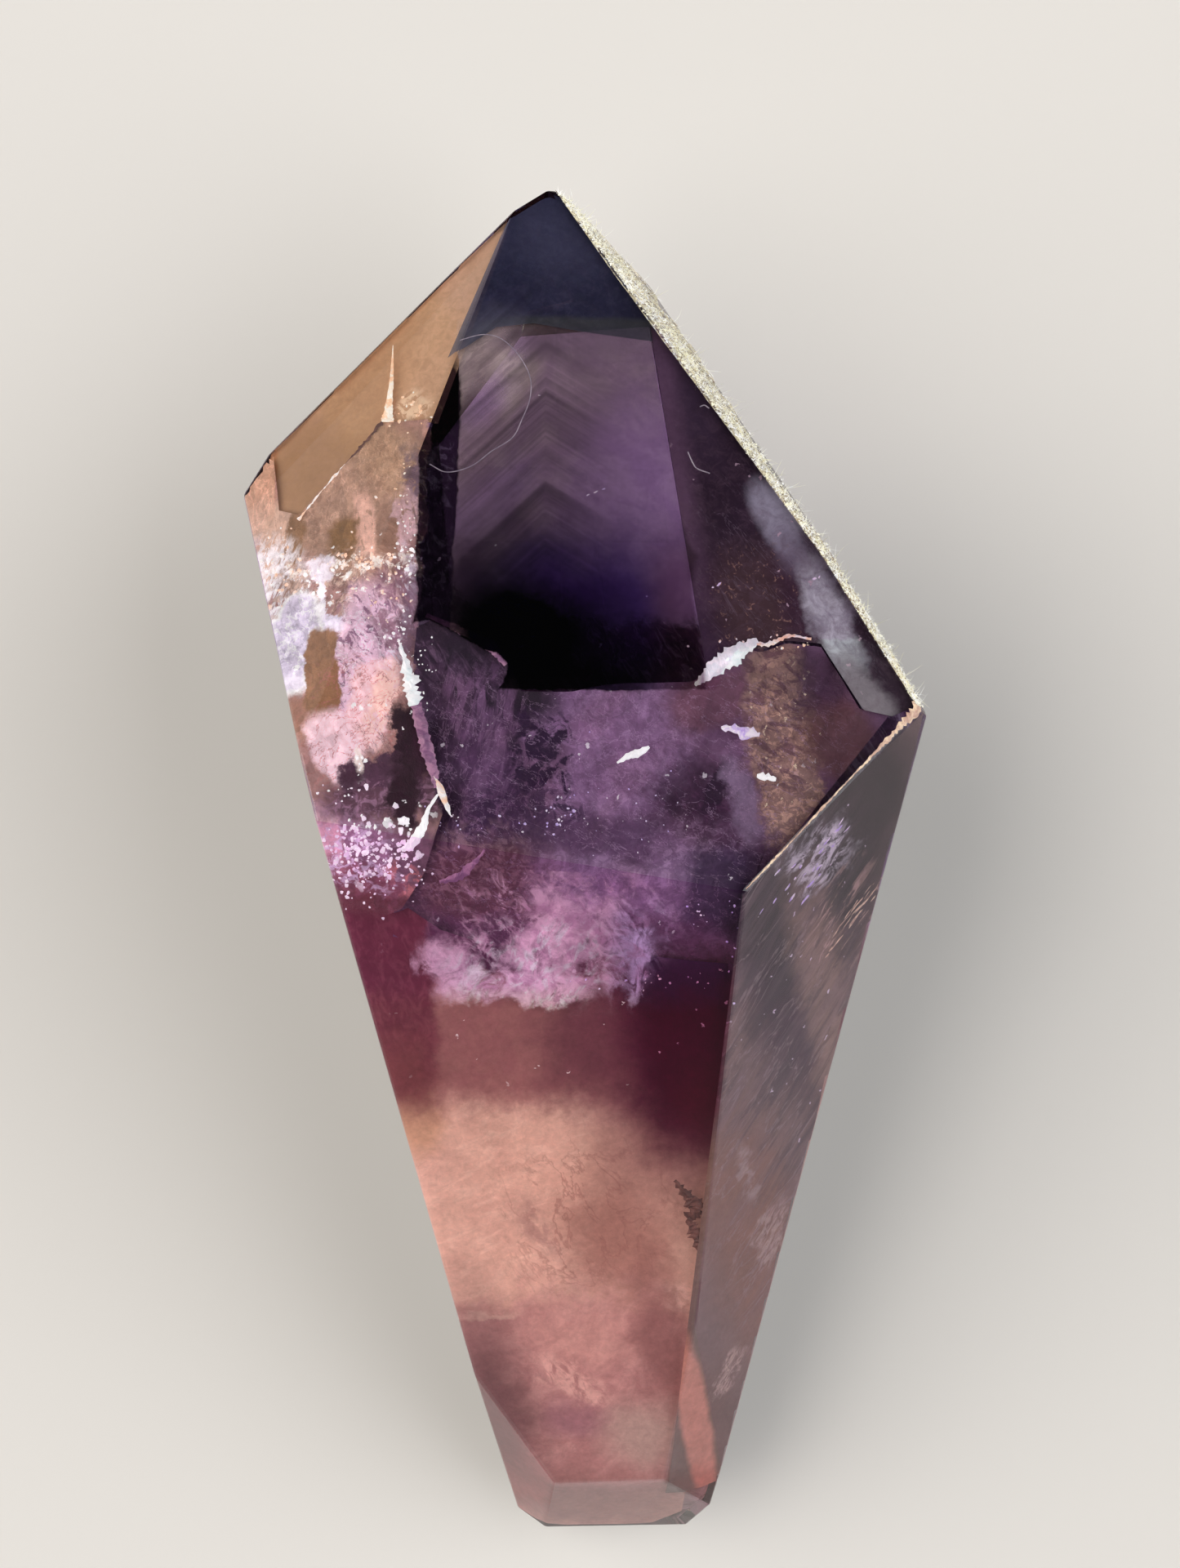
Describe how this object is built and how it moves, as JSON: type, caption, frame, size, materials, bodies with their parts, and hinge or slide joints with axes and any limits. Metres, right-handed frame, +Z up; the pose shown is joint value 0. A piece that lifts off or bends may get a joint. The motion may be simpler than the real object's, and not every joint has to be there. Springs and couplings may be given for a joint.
{
  "type": "polished amethyst wand",
  "caption": "Faceted amethyst wand with a pointed head and a tapering body, for holding, massage or display; it lies on its broad back flat.",
  "frame": {"origin": "bottom centre of the stone's box, on the surface that it lies on", "axes": "+Y along the stone, towards the point of its head; +Z up, away from the surface; +X to the right, seen from above with the point up"},
  "size_m": [0.044, 0.0912, 0.0359],
  "materials": {
    "amethyst": "polished"
  },
  "bodies": {
    "root": {"amethyst_wand": "amethyst"}
  },
  "joints": []
}
